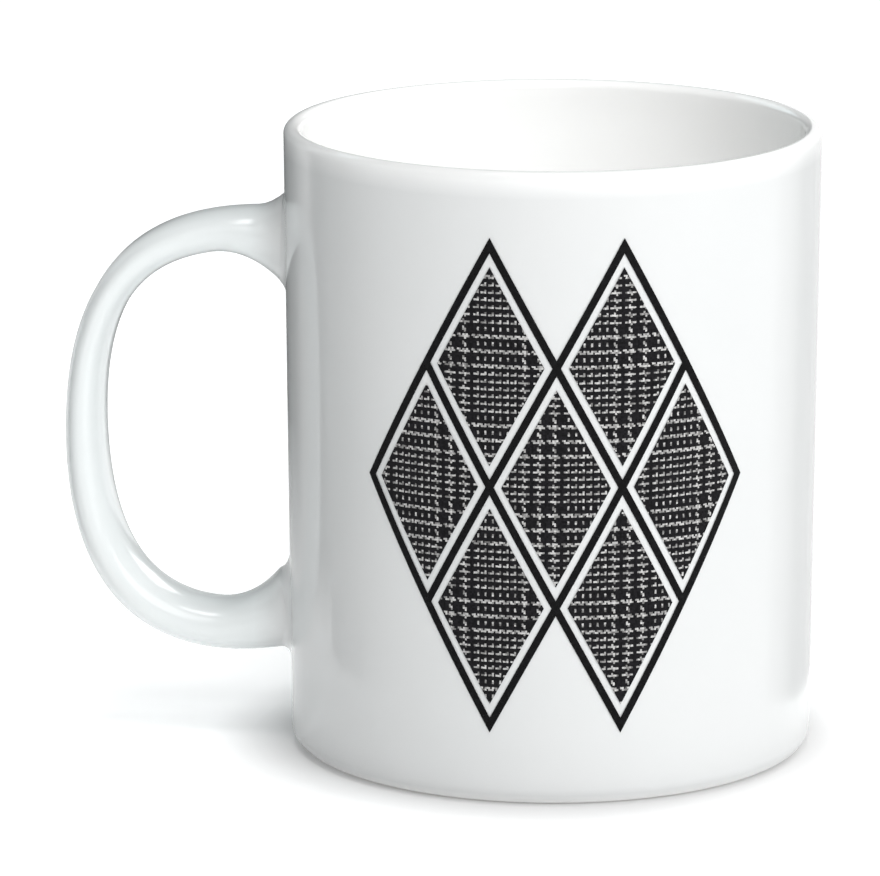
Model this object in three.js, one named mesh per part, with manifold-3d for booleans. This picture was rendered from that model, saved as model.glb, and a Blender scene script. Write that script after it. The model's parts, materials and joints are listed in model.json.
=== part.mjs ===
// Straight-sided ceramic coffee mug: a turned body, a cast ear handle stuck on with slip, a printed front.
// Millimetres, +Z up. The mug stands on z = 0, its handle points along -X and its print faces -Y.
// The origin lies under the middle of the whole mug, so the cup's own axis stands a little to +X.

import * as THREE from 'three';
import { mergeVertices } from 'three/addons/utils/BufferGeometryUtils.js';
import Module from 'manifold-3d';

// Body
const RIM_DIAMETER = 82;
const FOOT_DIAMETER = 80.2; // where the straight wall would meet the table
const HEIGHT = 96.5;
const WALL = 4.8;
const LIP_THICKNESS = 2.6;
const LIP_TAPER = 26; // depth over which the wall thins towards the lip
const BOTTOM_EDGE_RADIUS = 2.8;
const FOOT_RING_WIDTH = 3.6;
const FOOT_RECESS = 2;
const FLOOR = 6;
const FLOOR_CORNER_RADIUS = 9;

// Handle, along its middle line
const HANDLE_DROP = 17.1; // upper arm below the rim, where it leaves the wall
const HANDLE_RISE = 17.7; // lower arm above the table, where it leaves the wall
const HANDLE_REACH = 31.45; // grip beyond the rim
const UPPER_ARM_SPREAD = 0.5; // how far an arm moves away from the other before it bends
const LOWER_ARM_SPREAD = 3;
const GRIP_LEVEL = 0.494; // its outermost point, as a share of the way up from the lower arm to the upper
const UPPER_ARM_FULLNESS = 0.467; // share of the way out over which an arm holds its line before it bends
const LOWER_ARM_FULLNESS = 0.432;
const UPPER_GRIP_FULLNESS = 0.931; // share of the way up or down over which the grip holds its line
const LOWER_GRIP_FULLNESS = 0.957;

// Handle, across its middle line
const HANDLE_WIDTH = 12.4;
const UPPER_ARM_THICKNESS = 6.9;
const BEND_THICKNESS = 5.25;
const LOWER_ARM_THICKNESS = 8;
const BEND_AT = 31; // length of the upper arm before its thinnest place
const ROUNDNESS = 2.3; // 2 is an ellipse, more is squarer

// Flares that spread the handle's ends on the wall
const INNER_FLARE_LENGTH = 12;
const OUTER_FLARE_LENGTH = 4.5;
const UPPER_INNER_FLARE = 5.3;
const UPPER_OUTER_FLARE = 2.4;
const LOWER_INNER_FLARE = 4.2;
const SIDE_FLARE = 1.2;

// Slip between the handle's ends and the wall
const SLIP_BED = 0.8;
const FIT_GAP = 0.3; // clearance left on each side of the slip

// Print: a hexagon of tall lozenges in a trellis of thin lines
const ROW_COUNTS = [2, 3, 2]; // lozenges in each row, from the top
const PRINT_WIDTH = 59.4; // along the wall
const PRINT_TOP_MARGIN = 11;
const PRINT_BOTTOM_MARGIN = 12.5;
const PRINT_TURN = THREE.MathUtils.degToRad(7); // its middle, past the quarter turn from the handle
const LINE_WIDTH = 1.1;
const LINE_MARGIN = 1; // bare glaze between a line and a lozenge
const INK_FILM = 0.08;
const INK_GAP = 0.05;

// Fineness of the facets
const TURN_STEPS = 72;
const ARC_STEPS = 4;
const HANDLE_STEPS = 52;
const SECTION_SIDES = 24;
const WELD = 1e-4;

const wasm = await Module();
wasm.setup();

const rimRadius = RIM_DIAMETER / 2;
const footRadius = FOOT_DIAMETER / 2;
const wallSlope = (rimRadius - footRadius) / HEIGHT;
const wallAngle = Math.atan(wallSlope);
const wallStretch = Math.hypot(1, wallSlope);
const wallRadius = (z) => footRadius + wallSlope * z;
const floorHeight = FOOT_RECESS + FLOOR;

const glaze = () => new THREE.MeshStandardMaterial({ color: 0xf4f5f4, roughness: 0.12, metalness: 0 });
const ink = () => new THREE.MeshStandardMaterial({ color: 0x2b2a2c, roughness: 0.3, metalness: 0 });

// Solids and meshes

function solid(geometry) {
  const bare = geometry.clone();
  bare.deleteAttribute('normal');
  bare.deleteAttribute('uv');
  const welded = mergeVertices(bare, WELD);
  const index = welded.index.array;
  const faces = [];
  for (let i = 0; i < index.length; i += 3) {
    const [a, b, c] = index.slice(i, i + 3);
    if (a !== b && b !== c && c !== a) faces.push(a, b, c);
  }
  return new wasm.Manifold(new wasm.Mesh({
    numProp: 3,
    vertProperties: new Float32Array(welded.attributes.position.array),
    triVerts: new Uint32Array(faces),
  }));
}

function mesh(name, body, material) {
  const { vertProperties, triVerts } = body.getMesh();
  const geometry = new THREE.BufferGeometry();
  geometry.setAttribute('position', new THREE.BufferAttribute(vertProperties, 3));
  geometry.setIndex(new THREE.BufferAttribute(triVerts, 1));
  geometry.computeVertexNormals();
  const piece = new THREE.Mesh(geometry, material);
  piece.name = name;
  return piece;
}

// A profile of radius and height turned about the cup's axis
function turned(points) {
  return solid(new THREE.LatheGeometry(points, TURN_STEPS).rotateX(Math.PI / 2));
}

// Body: from the middle of the underside out over the foot ring, up the wall, over the lip and down inside

function bodyProfile() {
  const profile = new THREE.Path();
  const straight = Math.PI / 2;

  const bottomX = wallRadius(BOTTOM_EDGE_RADIUS) - BOTTOM_EDGE_RADIUS * wallStretch;
  const ringInner = bottomX - FOOT_RING_WIDTH;
  const recessEdge = FOOT_RECESS / 2;
  profile.moveTo(0, FOOT_RECESS);
  profile.lineTo(ringInner - 2 * recessEdge, FOOT_RECESS);
  profile.absarc(ringInner - 2 * recessEdge, recessEdge, recessEdge, straight, 0, true);
  profile.absarc(ringInner, recessEdge, recessEdge, Math.PI, 3 * straight, false);
  profile.absarc(bottomX, BOTTOM_EDGE_RADIUS, BOTTOM_EDGE_RADIUS, -straight, -wallAngle, false);

  const lipRadius = LIP_THICKNESS / 2;
  const lipZ = HEIGHT - lipRadius;
  const lipX = wallRadius(lipZ) - lipRadius * wallStretch;
  profile.absarc(lipX, lipZ, lipRadius, -wallAngle, Math.PI, false);

  const fullWallZ = lipZ - LIP_TAPER;
  const ease = LIP_TAPER / 2;
  profile.bezierCurveTo(
    lipX - lipRadius, lipZ - ease,
    wallRadius(fullWallZ + ease) - WALL, fullWallZ + ease,
    wallRadius(fullWallZ) - WALL, fullWallZ,
  );

  const cornerZ = floorHeight + FLOOR_CORNER_RADIUS;
  const cornerX = wallRadius(cornerZ) - WALL - FLOOR_CORNER_RADIUS * wallStretch;
  profile.absarc(cornerX, cornerZ, FLOOR_CORNER_RADIUS, -wallAngle, -straight, true);
  profile.lineTo(0, floorHeight);
  return profile.getPoints(ARC_STEPS);
}

// Everything within a distance of the outer wall, the axis included: it trims what stands on the wall
function withinWall(distance, low = 0, high = HEIGHT) {
  return turned([
    new THREE.Vector2(0, low),
    new THREE.Vector2(wallRadius(low) + distance, low),
    new THREE.Vector2(wallRadius(high) + distance, high),
    new THREE.Vector2(0, high),
  ]);
}

// Handle: a loft of ovals along an ear-shaped middle line, with both ends spread on the wall

const upperArmZ = HEIGHT - HANDLE_DROP;
const lowerArmZ = HANDLE_RISE;
const gripZ = THREE.MathUtils.lerp(lowerArmZ, upperArmZ, GRIP_LEVEL);
const gripX = rimRadius + HANDLE_REACH;

// A quarter of the ear, from where an arm leaves the wall to the grip's outermost point
function quarterEar(armZ, spread, armFullness, gripFullness) {
  const wallX = wallRadius(armZ);
  const armX = THREE.MathUtils.lerp(wallX, gripX, armFullness);
  const spreadZ = armZ + Math.sign(armZ - gripZ) * spread;
  const bendZ = THREE.MathUtils.lerp(gripZ, spreadZ, gripFullness);
  const corners = [[wallX, armZ], [armX, spreadZ], [gripX, bendZ], [gripX, gripZ]];
  return corners.map(([out, z]) => new THREE.Vector3(-out, 0, z));
}

// The ear from inside the wall to inside the wall, each arm running straight on into it
function handleLine() {
  const upper = quarterEar(upperArmZ, UPPER_ARM_SPREAD, UPPER_ARM_FULLNESS, UPPER_GRIP_FULLNESS);
  const lower = quarterEar(lowerArmZ, LOWER_ARM_SPREAD, LOWER_ARM_FULLNESS, LOWER_GRIP_FULLNESS);
  const inWall = ([root, arm]) => root.clone().sub(arm).setLength(WALL).add(root);
  const line = new THREE.CurvePath();
  line.add(new THREE.LineCurve3(inWall(upper), upper[0]));
  line.add(new THREE.CubicBezierCurve3(...upper));
  line.add(new THREE.CubicBezierCurve3(...lower.toReversed()));
  line.add(new THREE.LineCurve3(lower[0], inWall(lower)));
  return line;
}

// Extra half size at a distance from the wall, fading to nothing over the flare's length
function flare(size, length, distance) {
  const left = THREE.MathUtils.clamp(1 - distance / length, 0, 1);
  return size * left * left;
}

// Half sizes of the handle's section: towards its outside, towards the fingers, and to each side
function sectionSizes(fromUpper, fromLower) {
  const whole = fromUpper + fromLower;
  const [arm, share] = fromUpper < BEND_AT
    ? [UPPER_ARM_THICKNESS, 1 - Math.max(fromUpper, 0) / BEND_AT]
    : [LOWER_ARM_THICKNESS, Math.min((fromUpper - BEND_AT) / (whole - BEND_AT), 1)];
  const half = THREE.MathUtils.lerp(BEND_THICKNESS, arm, share) / 2;
  return {
    outer: half + flare(UPPER_OUTER_FLARE, OUTER_FLARE_LENGTH, fromUpper),
    inner: half + flare(UPPER_INNER_FLARE, INNER_FLARE_LENGTH, fromUpper)
      + flare(LOWER_INNER_FLARE, INNER_FLARE_LENGTH, fromLower),
    side: HANDLE_WIDTH / 2 + flare(SIDE_FLARE, OUTER_FLARE_LENGTH, fromUpper)
      + flare(SIDE_FLARE, OUTER_FLARE_LENGTH, fromLower),
  };
}

function handleRing(line, share) {
  const length = line.getLength();
  const run = length * share;
  const { outer, inner, side } = sectionSizes(run - WALL, length - run - WALL);
  const centre = line.getPointAt(share);
  const way = line.getTangentAt(share);
  const outwards = new THREE.Vector3(way.z, 0, -way.x);
  const squared = (value) => Math.sign(value) * Math.abs(value) ** (2 / ROUNDNESS);
  const ring = [];
  for (let i = 0; i < SECTION_SIDES; i += 1) {
    const turn = (2 * Math.PI * i) / SECTION_SIDES;
    const across = squared(Math.cos(turn)) * side;
    const off = squared(Math.sin(turn)) * (Math.sin(turn) > 0 ? outer : inner);
    ring.push(centre.clone().addScaledVector(outwards, off).add(new THREE.Vector3(0, -across, 0)));
  }
  return ring;
}

// A closed skin over rings of equally many points, with a flat fan on each end
function loft(rings) {
  const sides = rings[0].length;
  const middle = (ring) => ring.reduce((sum, p) => sum.add(p), new THREE.Vector3()).divideScalar(sides);
  const points = [...rings.flat(), middle(rings[0]), middle(rings.at(-1))];
  const [firstEnd, lastEnd] = [points.length - 2, points.length - 1];
  const lastRow = (rings.length - 1) * sides;
  const faces = [];
  for (let i = 0; i < sides; i += 1) {
    const next = (i + 1) % sides;
    for (let row = 0; row < lastRow; row += sides) {
      faces.push(row + i, row + next, row + sides + i);
      faces.push(row + next, row + sides + next, row + sides + i);
    }
    faces.push(firstEnd, next, i);
    faces.push(lastEnd, lastRow + i, lastRow + next);
  }
  const geometry = new THREE.BufferGeometry().setFromPoints(points);
  geometry.setIndex(faces);
  return solid(geometry);
}

function handleSolids() {
  const line = handleLine();
  const shares = Array.from({ length: HANDLE_STEPS + 1 }, (_, i) => i / HANDLE_STEPS);
  const ear = loft(shares.map((share) => handleRing(line, share)));
  const slipBack = FIT_GAP;
  const slipFace = slipBack + SLIP_BED;
  const slip = (low, high) => ear
    .intersect(withinWall(slipFace, low, high))
    .subtract(withinWall(slipBack));
  return {
    handle: ear.subtract(withinWall(slipFace + FIT_GAP)),
    upperSlip: slip(gripZ, HEIGHT),
    lowerSlip: slip(0, gripZ),
  };
}

// Print: each lozenge is cut from a thin shell on the wall by a prism that points from the axis to its middle

function lozengeOutline(halfWidth, halfHeight, shape) {
  shape.moveTo(halfWidth, 0);
  shape.lineTo(0, halfHeight);
  shape.lineTo(-halfWidth, 0);
  shape.lineTo(0, -halfHeight);
  shape.closePath();
  return shape;
}

function printSolids() {
  const low = PRINT_BOTTOM_MARGIN;
  const high = HEIGHT - PRINT_TOP_MARGIN;
  const middleZ = (low + high) / 2;
  const middleRadius = wallRadius(middleZ);
  const halfWidth = PRINT_WIDTH / Math.max(...ROW_COUNTS) / 2;
  const halfHeight = (high - low) / (ROW_COUNTS.length + 1);
  const facePitch = (halfWidth * halfHeight) / Math.hypot(halfWidth, halfHeight);
  const step = halfWidth / middleRadius;
  const chord = middleRadius * Math.sin(step);

  const inside = (z) => new THREE.Vector2(wallRadius(z) + INK_GAP, z);
  const outside = (z) => new THREE.Vector2(wallRadius(z) + INK_GAP + INK_FILM, z);
  const tip = (halfHeight * LINE_WIDTH) / facePitch;
  const bottom = low - tip;
  const top = high + tip;
  const shell = turned([outside(bottom), outside(top), inside(top), inside(bottom), outside(bottom)]);

  // A lozenge moved out or in from the trellis's own lines, square to its sides
  const lozenge = (offset, shape) => {
    const scale = 1 + offset / facePitch;
    return lozengeOutline(chord * scale, halfHeight * scale, shape);
  };
  // Half steps across from the print's middle, and the height, of each lozenge's middle
  const places = ROW_COUNTS.flatMap((count, row) => Array.from({ length: count }, (_, i) => [
    2 * i + 1 - count,
    high - halfHeight * (row + 1),
  ]));
  const prism = (shape, [column, z]) => solid(
    new THREE.ExtrudeGeometry(shape, { depth: RIM_DIAMETER, bevelEnabled: false })
      .rotateX(Math.PI / 2)
      .translate(0, 0, z)
      .rotateZ(PRINT_TURN + column * step),
  );
  const patch = () => lozenge(-LINE_WIDTH / 2 - LINE_MARGIN, new THREE.Shape());
  const frame = () => {
    const outline = lozenge(LINE_WIDTH / 2, new THREE.Shape());
    outline.holes.push(lozenge(-LINE_WIDTH / 2, new THREE.Path()));
    return outline;
  };
  const trellis = places
    .map((place) => prism(frame(), place))
    .reduce((joined, each) => joined.add(each))
    .intersect(shell);
  const lozenges = places.map((place) => prism(patch(), place).intersect(shell));
  return { trellis, lozenges };
}

// The whole mug

const { handle, upperSlip, lowerSlip } = handleSolids();
const { trellis, lozenges } = printSolids();

const mug = new THREE.Group();
mug.add(
  mesh('mug_body', turned(bodyProfile()), glaze()),
  mesh('handle', handle, glaze()),
  mesh('upper_handle_slip', upperSlip, glaze()),
  mesh('lower_handle_slip', lowerSlip, glaze()),
  mesh('print_trellis', trellis, ink()),
  ...lozenges.map((body, i) => mesh(`print_lozenge_${i + 1}`, body, ink())),
);
const overhang = -handle.boundingBox().min[0] - rimRadius;
mug.position.x = overhang / 2;

export default mug;
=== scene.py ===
import json
import math

import bpy
from bpy.props import FloatProperty, FloatVectorProperty, PointerProperty
from mathutils import Matrix, Vector

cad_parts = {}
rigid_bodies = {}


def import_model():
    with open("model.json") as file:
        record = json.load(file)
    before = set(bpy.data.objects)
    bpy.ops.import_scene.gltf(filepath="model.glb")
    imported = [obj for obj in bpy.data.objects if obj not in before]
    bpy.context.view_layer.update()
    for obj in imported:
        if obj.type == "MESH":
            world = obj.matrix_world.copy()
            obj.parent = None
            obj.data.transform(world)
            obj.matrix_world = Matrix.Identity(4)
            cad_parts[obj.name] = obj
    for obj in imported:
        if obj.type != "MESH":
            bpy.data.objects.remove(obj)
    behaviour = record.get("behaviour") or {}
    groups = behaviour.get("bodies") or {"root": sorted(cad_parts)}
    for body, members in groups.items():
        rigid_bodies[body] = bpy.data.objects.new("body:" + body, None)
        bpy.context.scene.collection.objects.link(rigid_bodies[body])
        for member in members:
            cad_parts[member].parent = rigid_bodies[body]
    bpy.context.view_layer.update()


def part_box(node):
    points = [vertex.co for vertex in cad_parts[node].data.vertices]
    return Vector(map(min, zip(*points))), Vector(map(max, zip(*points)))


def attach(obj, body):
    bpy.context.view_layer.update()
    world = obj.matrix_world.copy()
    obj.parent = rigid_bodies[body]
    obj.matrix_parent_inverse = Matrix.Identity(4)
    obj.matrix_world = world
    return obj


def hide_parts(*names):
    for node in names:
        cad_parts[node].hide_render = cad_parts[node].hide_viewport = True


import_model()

bl_info = {
    "name": "Glazed Mug",
    "version": (1, 0, 0),
    "blender": (4, 5, 0),
    "location": "3D View > Sidebar > Mug",
    "description": "Models a white glazed mug with an ear handle and a fired lozenge print",
    "category": "Add Mesh",
}

MM = 0.001
RIGHT_ANGLE = math.pi / 2

# The cup's own axis and height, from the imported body
BODY_LOW, BODY_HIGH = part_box("mug_body")
AXIS_X = (BODY_LOW.x + BODY_HIGH.x) / 2
BODY_HEIGHT = BODY_HIGH.z

# Fineness of the meshes
TURN_STEPS = 192
ARC_STEPS = 14
WALL_STATIONS = 12
CORNER_SEGMENTS = 12
EAR_LINE_STEPS = 400
HANDLE_STATIONS = 110
FILLET_STATIONS = 14
FILLET_ROUNDS = 5
PRINT_CUTS = 13
PAPER_CORNERS = 64
MERGE_DISTANCE = 1e-6
SMOOTH_ANGLE = math.radians(40)

# Glaze: radii in millimetres between which it takes over from the tone nearer to the axis, heights in
# millimetres from the top of the lip between which it takes over from that tone again, and its greatest
# roughness. The tones differ as painted light: the body's inside and a band below its lip are painted
# lighter, and the handle is painted lighter than the body away from the wall
BODY_GLAZE_MM = (38.8, 39.9)
HANDLE_GLAZE_MM = (41, 46)
LIP_PAINTED_BAND_MM = (2.5, -4)
BODY_DULLNESS = 0.12
HANDLE_DULLNESS = 0.24

# Glaze and ink are both glass, but the ink mirrors less
GLASS_IOR = 1.52
INK_SPECULAR = 0.08

# Print: lozenges in each row, how far its border is carried out while it is drawn, and the tweed's sets of
# threads, each with the count of its threads and of the light ones among them
ROW_COUNTS = (2, 3, 2)
SPARE_BORDER = 1.5
WIDE_CHECK = (8, 2)
FINE_CHECK = (4, 1)
BLOCKS = (48, 24)

# Camera: matched to the photograph's outline of the rim, the foot and the sides
IMAGE_WIDTH = 880
IMAGE_HEIGHT = 876
FOCAL_PIXELS = 6502.84
SENSOR_WIDTH = 36
VIEW_DISTANCE = 1.0
VIEW_AZIMUTH = math.radians(7)
VIEW_ELEVATION = math.radians(12.976)
MUG_MIDDLE = Vector((AXIS_X, 0, BODY_HEIGHT / 2))
MUG_MIDDLE_PIXEL = (551.56, 432.71)

# Studio paper: its radius in metres, its glow and the share of it that is left in the painted shadow at the
# mug's foot, then that shadow's width and the radii between which the glow grows to its fullest, painted light
# that keeps the far paper white, in millimetres
PAPER_RADIUS = 4
PAPER_GLOW = 0.24
SHADED_GLOW = 0.6
SHADE_WIDTH_MM = 14
FAR_PAPER_MM = (600, 1500)

# Soft boxes: degrees right of the camera, degrees up and distance, then size, watts and colour
SOFTBOXES = (
    ("key_softbox", (20, 34, 1.5), (1.5, 1.5), 21, "#ffffff"),
    ("right_softbox", (75, 14, 1.5), (0.8, 0.8), 4.8, "#ffffff"),
    ("top_softbox", (0, 85, 1.2), (0.5, 0.5), 5.5, "#ffffff"),
    ("left_back_softbox", (-140, 30, 1.5), (0.8, 0.8), 3, "#dcf1f6"),
    ("right_back_softbox", (140, 30, 1.5), (0.8, 0.8), 8.6, "#ffffff"),
)
ROOM_COLOUR = "#eef4f6"
ROOM_STRENGTH = 0.06

# Glowing cards that the camera does not see and the glaze mirrors, painted reflections: places given in the
# same way, width and height, the height over which they pale towards the paper, and their tones from one side
# to the other
FLAGS = (
    ("left_flag", (-100.3, 0, 0.11), (0.045, 0.2), 0.012,
     ("#f0f0f0", "#040404", "#040404", "#f0f0f0")),
    ("front_flag", (-75.5, 0, 0.088), (0.052, 0.2), 0.002,
     ("#ffffff", "#e6e6e6", "#a6a6a6", "#747474", "#747474")),
    ("back_flag", (-124.6, 0, 0.077), (0.06, 0.2), 0.04,
     ("#f0f0f0", "#4a4a4a", "#4a4a4a", "#606060")),
    ("right_flag", (115, 0, 0.06), (0.078, 0.2), 0.002,
     ("#fafafa", "#f8f8f8", "#e2e2e2", "#848484", "#ffffff")),
)


def linear(code):
    """A colour of the form #rrggbb as linear red, green, blue and opacity."""
    parts = [int(code[i:i + 2], 16) / 255 for i in (1, 3, 5)]
    return [p / 12.92 if p <= 0.04045 else ((p + 0.055) / 1.055) ** 2.4 for p in parts] + [1]


def length(name, description, millimetres):
    """A size that is shown as a length."""
    return FloatProperty(name=name, description=description, default=millimetres * MM,
                         min=0, precision=5, unit="LENGTH")


def share(name, description, default):
    """A size that is a part of another one."""
    return FloatProperty(name=name, description=description, default=default, min=0, max=1, subtype="FACTOR")


def colour(name, description, code):
    """A colour that is shown as a swatch."""
    return FloatVectorProperty(name=name, description=description, default=linear(code),
                               size=4, min=0, max=1, subtype="COLOR")


class MugBodySizes(bpy.types.PropertyGroup):
    height: FloatProperty(name="Height", description="Table to the top of the lip", default=BODY_HEIGHT,
                          precision=5, unit="LENGTH")
    rim_radius: length("Rim radius", "Outer wall carried up to the top of the lip", 41)
    foot_radius: length("Foot radius", "Outer wall carried down to the table", 40.1)
    wall: length("Wall", "Thickness of the wall below the lip", 4.8)
    lip: length("Lip", "Thickness of the rounded lip", 2.6)
    lip_taper: length("Lip taper", "Depth over which the wall thins towards the lip", 26)
    bottom_edge: length("Bottom edge", "Radius between the wall and the foot ring", 2.8)
    foot_ring: length("Foot ring", "Width of the flat ring that the mug stands on", 3.6)
    wiped: length("Wiped", "Height up to which the foot ring is wiped free of glaze", 0.05)
    recess: length("Recess", "Depth of the underside within the foot ring", 2)
    floor: length("Floor", "Thickness of the floor", 6)
    floor_corner: length("Floor corner", "Radius between the floor and the inner wall", 9)


class MugHandleSizes(bpy.types.PropertyGroup):
    drop: length("Drop", "Middle of the upper arm below the rim, at the wall", 17.1)
    rise: length("Rise", "Middle of the lower arm above the table, at the wall", 17.7)
    reach: length("Reach", "Middle of the grip beyond the rim", 31.45)
    upper_arm_spread: length("Upper arm spread", "Height that the upper arm gains before it bends", 0.5)
    lower_arm_spread: length("Lower arm spread", "Height that the lower arm loses before it bends", 3)
    grip_level: share("Grip level", "Height of the outermost point between the two arms", 0.494)
    upper_arm_fullness: share("Upper arm fullness", "Share of the way out before the upper arm bends", 0.467)
    lower_arm_fullness: share("Lower arm fullness", "Share of the way out before the lower arm bends", 0.432)
    upper_grip_fullness: share("Upper grip fullness", "Share of the way up before the grip bends", 0.931)
    lower_grip_fullness: share("Lower grip fullness", "Share of the way down before the grip bends", 0.957)
    width: length("Width", "Size of the section across the handle", 12.4)
    upper_arm: length("Upper arm", "Thickness at the upper wall", 6.9)
    bend: length("Bend", "Thickness at the upper bend, the thinnest place", 5.25)
    lower_arm: length("Lower arm", "Thickness at the lower wall", 8)
    bend_at: length("Bend at", "Length of the upper arm before its thinnest place", 31)
    section_corner: share("Section corner", "Corner radius of the section, where 1 gives an ellipse", 0.9)
    inner_flare_length: length("Inner flare length", "Length of the flares towards the fingers", 12)
    outer_flare_length: length("Outer flare length", "Length of the flares outside and at the sides", 4.5)
    upper_inner_flare: length("Upper inner flare", "Spread of the upper end towards the fingers", 5.3)
    upper_outer_flare: length("Upper outer flare", "Spread of the upper end towards the rim", 2.4)
    lower_inner_flare: length("Lower inner flare", "Spread of the lower end towards the fingers", 4.2)
    side_flare: length("Side flare", "Spread of both ends to each side", 1.2)
    upper_fillet: length("Upper fillet", "Size of the slip fillet round the upper end", 1.3)
    lower_fillet: length("Lower fillet", "Size of the slip fillet round the lower end", 2)
    sunk: length("Sunk", "Length of each end that is hidden in the wall", 1.6)
    tuck: length("Tuck", "Depth at which a fillet's edges run out under the next surface", 0.05)
    tuck_length: length("Tuck length", "Length over which a fillet's edges run out", 0.8)


class MugPrintSizes(bpy.types.PropertyGroup):
    width: length("Width", "Width of the print along the wall", 59.4)
    top_margin: length("Top margin", "Glaze between the print and the top of the lip", 11)
    bottom_margin: length("Bottom margin", "Glaze between the print and the table", 12.5)
    turn: FloatProperty(name="Turn", description="Print's middle past the quarter turn from the handle",
                        default=math.radians(7), subtype="ANGLE")
    line: length("Line", "Width of the trellis lines", 1.1)
    line_margin: length("Line margin", "Bare glaze between a line and a lozenge", 1)
    film: length("Film", "Thickness of the fired ink", 0.07)
    lift: length("Lift", "Height of the ink's outer face over the wall", 0.09)
    thread: length("Thread", "Spacing of the threads that the tweed pattern shows", 0.28)


class MugColours(bpy.types.PropertyGroup):
    glaze: colour("Glaze", "White gloss glaze of the outside", "#d3d4d4")
    thin_glaze: colour("Thin glaze", "The same glaze where it has run thin", "#cfd1d1")
    # The handle has the outside's glaze; its two tones here are painted lighter, painted light for the light
    # it catches
    painted_lighter_handle_glaze: colour("Handle glaze", "Whiter glaze of the handle, with no coat for print", "#e7ebeb")
    thin_painted_lighter_handle_glaze: colour("Thin handle glaze", "The handle's glaze where it has run thin", "#e0e4e4")
    # The inside has the outside's glaze, painted lighter: painted light inside the cup and in a band below the
    # lip
    painted_lighter_inside_glaze: colour("Inside glaze", "Whiter glaze of the inside", "#fcfcfb")
    bare_clay: colour("Bare clay", "Unglazed clay of the foot ring", "#e6e0d4")
    rubbed_clay: colour("Rubbed clay", "Foot ring where it has rubbed on tables", "#c9c4ba")
    line_ink: colour("Line ink", "Black of the trellis", "#060607")
    thin_line_ink: colour("Thin line ink", "Black of the trellis where the ink lies thinner", "#151517")
    dark_thread: colour("Dark thread", "Near-black threads of the tweed", "#08080a")
    faded_thread: colour("Faded thread", "Lighter of the dark threads", "#1a191c")
    light_thread: colour("Light thread", "Light grey threads of the tweed", "#605f5e")
    pale_thread: colour("Pale thread", "Paler of the light threads", "#c6c5c4")
    paper: colour("Paper", "Studio paper that the mug stands on", "#fbfbfb")
    # Paper painted darker at the mug's foot: a painted shadow
    shaded_paper: colour("Shaded paper", "The paper close to the mug's foot", "#cbcbcb")


GROUPS = {
    "mug_body_sizes": MugBodySizes,
    "mug_handle_sizes": MugHandleSizes,
    "mug_print_sizes": MugPrintSizes,
    "mug_colours": MugColours,
}


# Selection and finishing

def choose(piece):
    """Make one object the whole selection."""
    bpy.ops.object.select_all(action="DESELECT")
    piece.select_set(True)
    bpy.context.view_layer.objects.active = piece


def choose_faces(piece, test):
    """Select the faces of the piece in edit mode that pass a test."""
    bpy.ops.object.mode_set(mode="EDIT")
    bpy.ops.mesh.select_mode(type="FACE")
    bpy.ops.mesh.select_all(action="DESELECT")
    bpy.ops.object.mode_set(mode="OBJECT")
    for face in piece.data.polygons:
        face.select = test(face.center)
    bpy.ops.object.mode_set(mode="EDIT")


def apply_modifier(piece, kind, **settings):
    """Add a modifier to a piece and apply it."""
    choose(piece)
    modifier = piece.modifiers.new(kind.title(), kind)
    for name, value in settings.items():
        setattr(modifier, name, value)
    bpy.ops.object.modifier_apply(modifier=modifier.name)


def finish_piece(piece, name, slot, materials, *nodes):
    """Name a piece, put its place in its mesh, give it its finish and let it stand for its CAD nodes."""
    choose(piece)
    bpy.ops.object.transform_apply(location=True, rotation=True, scale=True)
    bpy.ops.object.shade_smooth_by_angle(angle=SMOOTH_ANGLE)
    piece.vertex_groups.clear()
    piece.name = name
    piece.data.name = name
    piece.data.materials.clear()
    for material in materials:
        piece.data.materials.append(material)
    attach(piece, "root")
    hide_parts(*nodes)


# Materials

def add(tree, kind, inputs=None, **settings):
    """Add one node with its settings, values and links."""
    made = tree.nodes.new(kind)
    for name, value in settings.items():
        setattr(made, name, value)
    for socket, value in (inputs or {}).items():
        if isinstance(value, bpy.types.NodeSocket):
            tree.links.new(value, made.inputs[socket])
        else:
            made.inputs[socket].default_value = value
    return made


def start_material(name):
    """An empty node material, with the place on the piece in millimetres."""
    material = bpy.data.materials.new(name)
    material.use_nodes = True
    tree = material.node_tree
    tree.nodes.clear()
    place = add(tree, "ShaderNodeTexCoord").outputs["Object"]
    in_mm = add(tree, "ShaderNodeVectorMath", {0: place, "Scale": 1 / MM}, operation="SCALE").outputs[0]
    return material, tree, in_mm


def end_material(tree, inputs):
    """The surface of a material, from the shader's own sockets."""
    shader = add(tree, "ShaderNodeBsdfPrincipled", inputs)
    add(tree, "ShaderNodeOutputMaterial", {"Surface": shader.outputs["BSDF"]})


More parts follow.
